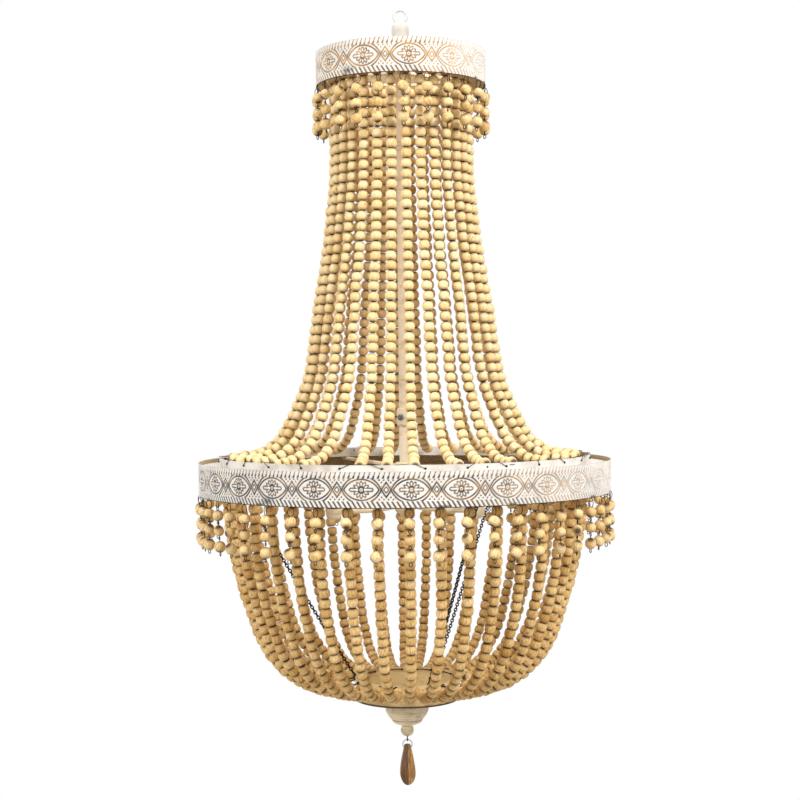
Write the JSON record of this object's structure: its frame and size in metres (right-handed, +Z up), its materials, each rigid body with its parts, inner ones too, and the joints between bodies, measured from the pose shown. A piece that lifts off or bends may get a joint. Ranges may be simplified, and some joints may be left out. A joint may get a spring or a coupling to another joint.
{
  "type": "beaded chandelier",
  "caption": "Hanging basket chandelier: wooden bead strands between stamped metal bands and a bowl, with candle arms inside and a wooden drop below",
  "frame": {"origin": "top of the hanging loop's hole, where the hook bears, on the stem's axis", "axes": "+Z up along the stem, -Y toward the viewer of the picture's front, +X to the viewer's right"},
  "size_m": [0.5169, 0.519, 0.9571],
  "materials": {
    "cream_metal": "cream paint rubbed over dark metal",
    "candle_sleeve": "matt ivory",
    "bead_wood": "white-washed natural wood, matt",
    "aged_bronze": "dark aged bronze",
    "bright_steel": "plain bright steel",
    "drop_wood": "faceted brown wood, satin"
  },
  "bodies": {
    "frame": {"hanging_loop": "cream_metal", "top_frame": "cream_metal", "top_band": "cream_metal", "stem_upper": "cream_metal", "stem_coupling": "cream_metal", "stem_lower": "cream_metal", "collar_ring": "cream_metal", "middle_band": "cream_metal", "lower_ring": "cream_metal", "spider": "cream_metal", "arm_hub": "cream_metal", "bowl": "cream_metal", "finial_dome": "cream_metal", "finial_ball": "cream_metal", "cup_1": "cream_metal", "cup_2": "cream_metal", "cup_3": "cream_metal", "sleeve_1": "candle_sleeve", "sleeve_2": "candle_sleeve", "sleeve_3": "candle_sleeve", "top_fringe": "bead_wood", "middle_fringe": "bead_wood", "upper_strands_01": "bead_wood", "upper_strands_02": "bead_wood", "upper_strands_03": "bead_wood", "upper_strands_04": "bead_wood", "upper_strands_05": "bead_wood", "upper_strands_06": "bead_wood", "upper_strands_07": "bead_wood", "upper_strands_08": "bead_wood", "upper_strands_09": "bead_wood", "upper_strands_10": "bead_wood", "upper_strands_11": "bead_wood", "upper_strands_12": "bead_wood", "upper_strands_13": "bead_wood", "upper_strands_14": "bead_wood", "upper_strands_15": "bead_wood", "lower_strands_01": "bead_wood", "lower_strands_02": "bead_wood", "lower_strands_03": "bead_wood", "lower_strands_04": "bead_wood", "lower_strands_05": "bead_wood", "lower_strands_06": "bead_wood", "lower_strands_07": "bead_wood", "lower_strands_08": "bead_wood", "lower_strands_09": "bead_wood", "lower_strands_10": "bead_wood", "chain_1": "aged_bronze", "chain_2": "aged_bronze", "chain_3": "aged_bronze", "drop_hook": "aged_bronze", "set_screw": "bright_steel"},
    "ring": {"split_ring": "bright_steel"},
    "drop": {"drop": "drop_wood"}
  },
  "joints": [
    {"name": "ring_swing", "type": "hinge", "parent": "frame", "child": "ring", "pos_m": [0, 0, -0.89685], "axis": [0, 1, 0], "range_deg": [-25, 25]},
    {"name": "drop_swing", "type": "hinge", "parent": "ring", "child": "drop", "pos_m": [0, 0, -0.90635], "axis": [1, 0, 0], "range_deg": [-25, 25]}
  ]
}
